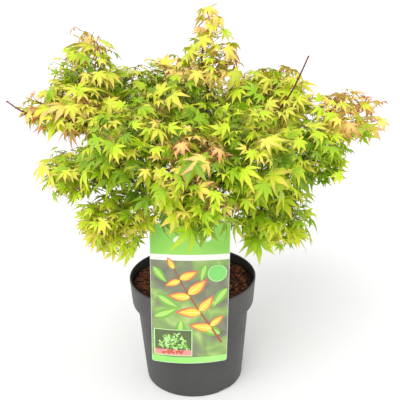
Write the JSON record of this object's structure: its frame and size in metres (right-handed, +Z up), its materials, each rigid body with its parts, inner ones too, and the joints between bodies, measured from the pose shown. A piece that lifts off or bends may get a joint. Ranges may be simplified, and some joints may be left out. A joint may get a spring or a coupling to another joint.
{
  "type": "potted japanese maple",
  "caption": "Young Japanese maple with spreading boughs of pointed, lobed leaves, standing in a round plastic nursery pot with a printed card hooked over its rim.",
  "frame": {"origin": "centre of the pot's flat underside", "axes": "+Z up along the pot's axis; -Y is the front, where the card hangs; +X is to the right of someone who faces the card"},
  "size_m": [0.5264, 0.4255, 0.5613],
  "materials": {
    "pot_plastic": "dark grey moulded plastic, smooth, slightly dull",
    "soil": "damp reddish-brown bark and peat mix",
    "card_print": "green printed card, satin",
    "bark": "smooth young bark, brown",
    "leaf_green": "yellow-green leaves on reddish twigs"
  },
  "bodies": {
    "root": {"pot": "pot_plastic", "soil": "soil", "label_card": "card_print", "trunk": "bark", "bough_top": "bark", "bough_upper_left": "bark", "bough_left": "bark", "bough_lower_left": "bark", "bough_low_front_left": "bark", "bough_front_left": "bark", "bough_front": "bark", "bough_front_right": "bark", "bough_upper_right": "bark", "bough_right": "bark", "bough_mid_right": "bark", "bough_lower_right": "bark", "bough_rear_left": "bark", "bough_rear": "bark", "bough_rear_right": "bark", "bough_middle": "bark", "foliage_top": "leaf_green", "foliage_upper_left": "leaf_green", "foliage_left": "leaf_green", "foliage_lower_left": "leaf_green", "foliage_low_front_left": "leaf_green", "foliage_front_left": "leaf_green", "foliage_front": "leaf_green", "foliage_front_right": "leaf_green", "foliage_upper_right": "leaf_green", "foliage_right": "leaf_green", "foliage_mid_right": "leaf_green", "foliage_lower_right": "leaf_green", "foliage_rear_left": "leaf_green", "foliage_rear": "leaf_green", "foliage_rear_right": "leaf_green", "foliage_middle": "leaf_green"}
  },
  "joints": []
}
